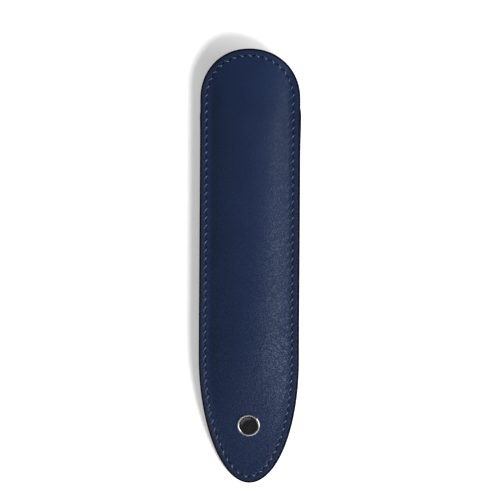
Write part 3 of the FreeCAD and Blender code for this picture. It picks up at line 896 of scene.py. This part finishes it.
# %% Stud ring
BEZEL_WALL = 0.75 * MM
BRIM_HEIGHT = 0.78 * MM
SEAT_DEPTH = 0.35 * MM
WELL_FLOOR = 0.05 * MM
POST_RADIUS = 1.2 * MM
BRIM_ROWS = 13
brim_round = BEZEL_WALL / 2
brim_middle = STUD_RADIUS - brim_round
brim = [
    (brim_middle + brim_round * math.cos(angle), BRIM_HEIGHT - brim_round * (1 - math.sin(angle)))
    for angle in spread(0, math.pi, BRIM_ROWS)
]
foot = [(0, -LEATHER), (POST_RADIUS, -LEATHER), (POST_RADIUS, -SEAT_DEPTH), (STUD_RADIUS, -SEAT_DEPTH)]
well = STUD_RADIUS - BEZEL_WALL
stud_bezel = turn_piece("stud_ring", foot + brim + [(well, WELL_FLOOR), (0, WELL_FLOOR)], steel)

# %% [markdown]
# The disc is enamel that was poured into the cup. It is slightly domed, and its rim creeps up the wall, as
# a liquid does. A flat disc would mirror one patch of the room. The hollow at the rim catches a thin
# crescent of light. The washer on the back of the leather keeps its CAD shape and only gets the steel.

# %% Stud disc and washer
INLAY_GAP = 0.03 * MM
INLAY_EDGE = 0.3 * MM
INLAY_DOME = 0.12 * MM
INLAY_CREEP = 0.26 * MM
CREEP_POWER = 4
INLAY_ROWS = 21
inlay_radius = well - INLAY_GAP


def inlay_height(share):
    """Height of the disc's face, from 0 in the middle to 1 at the rim."""
    return WELL_FLOOR + INLAY_EDGE + INLAY_DOME * (1 - share ** 2) + INLAY_CREEP * share ** CREEP_POWER


inlay_face = [(inlay_radius * share, inlay_height(share)) for share in spread(1, 0, INLAY_ROWS)]
stud_inlay = turn_piece("stud_disc", [(0, WELL_FLOOR), (inlay_radius, WELL_FLOOR)] + inlay_face, enamel)
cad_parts["stud_washer"].data.materials.clear()
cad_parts["stud_washer"].data.materials.append(steel)

# %% [markdown]
# The table lists each piece with the CAD node it stands for and the record's finish it takes. Each piece
# is hung on the root body and its CAD node is hidden. Nothing on the sleeve moves, so all of it rides on
# the root.

# %% Seat the pieces in the frame
seats = (
    (front_panel, "front_panel", "leather"),
    (back_panel, "back_panel", "leather"),
    (front_lining, "front_lining", "lining"),
    (back_lining, "back_lining", "lining"),
    (front_edge, "front_edge_coat", "edge_coat"),
    (back_edge, "back_edge_coat", "edge_coat"),
    (front_stitches, "front_stitches", "thread"),
    (back_stitches, "back_stitches", "thread"),
    (stud_bezel, "stud_bezel", "steel"),
    (stud_inlay, "stud_inlay", "inlay"),
)
for piece, node, slot in seats:
    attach(piece, "root")
    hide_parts(node)
print(f"{len(seats)} pieces seated on the root")

# %% [markdown]
# The table is a plain pale sheet. More light on it would bring it to white, but would also bleach the
# sleeve. So the camera, mirrors and glass see a little glow on it that the object doesn't get, which brings
# the lit part to white and leaves the shadow.

# %% Table
FLOOR_SIZE = 3.0
FLOOR_CELLS = 8
mesh = bmesh.new()
bmesh.ops.create_grid(mesh, x_segments=FLOOR_CELLS, y_segments=FLOOR_CELLS, size=FLOOR_SIZE / 2)
floor_data = bpy.data.meshes.new("table")
mesh.to_mesh(floor_data)
mesh.free()
table = bpy.data.objects.new("table", floor_data)
bpy.context.scene.collection.objects.link(table)
print(f"table {FLOOR_SIZE:.1f} m wide")

# %% Paper of the table
FLOOR_GLOW = 0.32
PAPER_WHITE = (0.9, 0.9, 0.9, 1)
WHITE = (1, 1, 1, 1)

paper = bpy.data.materials.new("pale_table")
paper.use_nodes = True
tree = paper.node_tree
tree.nodes.remove(tree.nodes["Principled BSDF"])


def joined(tree, operation, first, second):
    """Two values brought together by a maths node."""
    return add_node(tree, "ShaderNodeMath", {0: first, 1: second}, operation=operation).outputs[0]


ray = add_node(tree, "ShaderNodeLightPath").outputs
seen = joined(tree, "MAXIMUM", ray["Is Camera Ray"], ray["Is Glossy Ray"])
seen = joined(tree, "MAXIMUM", seen, ray["Is Transmission Ray"])
glow = joined(tree, "MULTIPLY", seen, FLOOR_GLOW)
matt = add_node(tree, "ShaderNodeBsdfDiffuse", {"Color": PAPER_WHITE})
light = add_node(tree, "ShaderNodeEmission", {"Color": WHITE, "Strength": glow})
both = add_node(tree, "ShaderNodeAddShader", {0: matt.outputs[0], 1: light.outputs[0]})
tree.links.new(both.outputs[0], tree.nodes["Material Output"].inputs["Surface"])
floor_data.materials.append(paper)
print(f"paper with a glow of {FLOOR_GLOW:.2f}")

# %% [markdown]
# Two lamps stand on the right, which leaves the left flank dark. The high, small one throws the short
# shadow up and to the left. The low, long one gives the right flank its sheen and the thread its glints, so
# the high one is kept out of reflections. A weak card in front of the tip lights the stud's ring and the
# rim of its disc. One large lamp would be simpler, but it can't have a short shadow and a long sheen at
# once.

# %% Lamps
KEY_FROM = Vector((0.458, -0.377, 1.0))
KEY_DISTANCE = 1.1
KEY_SIZE = (0.32, 0.32)
KEY_POWER = 11.0
STRIP_FROM = Vector((0.9, -0.32, 0.87))
STRIP_DISTANCE = 1.0
STRIP_SIZE = (1.07, 0.45)
STRIP_POWER = 7.9
CARD_FROM = Vector((0.05, -0.76, 0.643))
CARD_DISTANCE = 1.0
CARD_SIZE = (0.36, 0.36)
CARD_POWER = 0.65


def add_lamp(name, direction, distance, size, power):
    """An oval lamp so far away in a direction, turned to the sleeve."""
    data = bpy.data.lights.new(name, "AREA")
    data.shape = "ELLIPSE"
    data.size, data.size_y = size
    data.energy = power
    lamp = bpy.data.objects.new(name, data)
    lamp.location = direction.normalized() * distance
    lamp.rotation_euler = direction.to_track_quat("Z", "Y").to_euler()
    bpy.context.scene.collection.objects.link(lamp)
    print(f"{name}: {power} W from {distance} m")
    return lamp


key = add_lamp("key", KEY_FROM, KEY_DISTANCE, KEY_SIZE, KEY_POWER)
key.visible_glossy = False
add_lamp("strip", STRIP_FROM, STRIP_DISTANCE, STRIP_SIZE, STRIP_POWER)
add_lamp("card", CARD_FROM, CARD_DISTANCE, CARD_SIZE, CARD_POWER)

# %% [markdown]
# The sky fills the shadow evenly from all sides. A studio is darker than its lit table, so what the
# polished steel and the leather mirror is a darker room. One strength for both would make either the shadow
# too deep or the leather too pale.

# %% Sky and room
SKY = 0.28
ROOM = 0.2
world = bpy.data.worlds.new("studio")
world.use_nodes = True
tree = world.node_tree
glossy = add_node(tree, "ShaderNodeLightPath").outputs["Is Glossy Ray"]
background = tree.nodes["Background"]
background.inputs["Color"].default_value = WHITE
feed(tree, background, Strength=ranged(tree, glossy, (0.0, 1.0), (SKY, ROOM)))
bpy.context.scene.world = world
print(f"sky of {SKY:.2f}, room of {ROOM:.2f}")

# %% [markdown]
# The camera hangs above with a long lens, so that the sides of the sleeve stay parallel. An orthographic
# camera would do that as well, but a real lens has a little depth. It leans a few degrees to the right, as
# in the photograph, where the right edge shows more of its paint than the left.

# %% Camera
VIEW_WIDTH = 184.3 * MM
VIEW_CENTRE = Vector((0.0, 5.97 * MM, 7 * MM))
VIEW_TURN = Euler(map(math.radians, (0.0, 4.0, 0.38)))
CAMERA_DISTANCE = 2.4
SENSOR_WIDTH = 36
SIGHT = 10
camera_data = bpy.data.cameras.new("camera")
camera_data.sensor_width = SENSOR_WIDTH
camera_data.lens = SENSOR_WIDTH * CAMERA_DISTANCE / VIEW_WIDTH
camera_data.clip_end = SIGHT
camera = bpy.data.objects.new("camera", camera_data)
camera.location = VIEW_CENTRE + VIEW_TURN.to_matrix() @ Vector((0, 0, CAMERA_DISTANCE))
camera.rotation_euler = VIEW_TURN
bpy.context.scene.collection.objects.link(camera)
bpy.context.scene.camera = camera
bpy.context.scene.view_settings.view_transform = "Standard"
print(f"camera {CAMERA_DISTANCE:.1f} m away, view {VIEW_WIDTH / MM:.0f} mm wide")
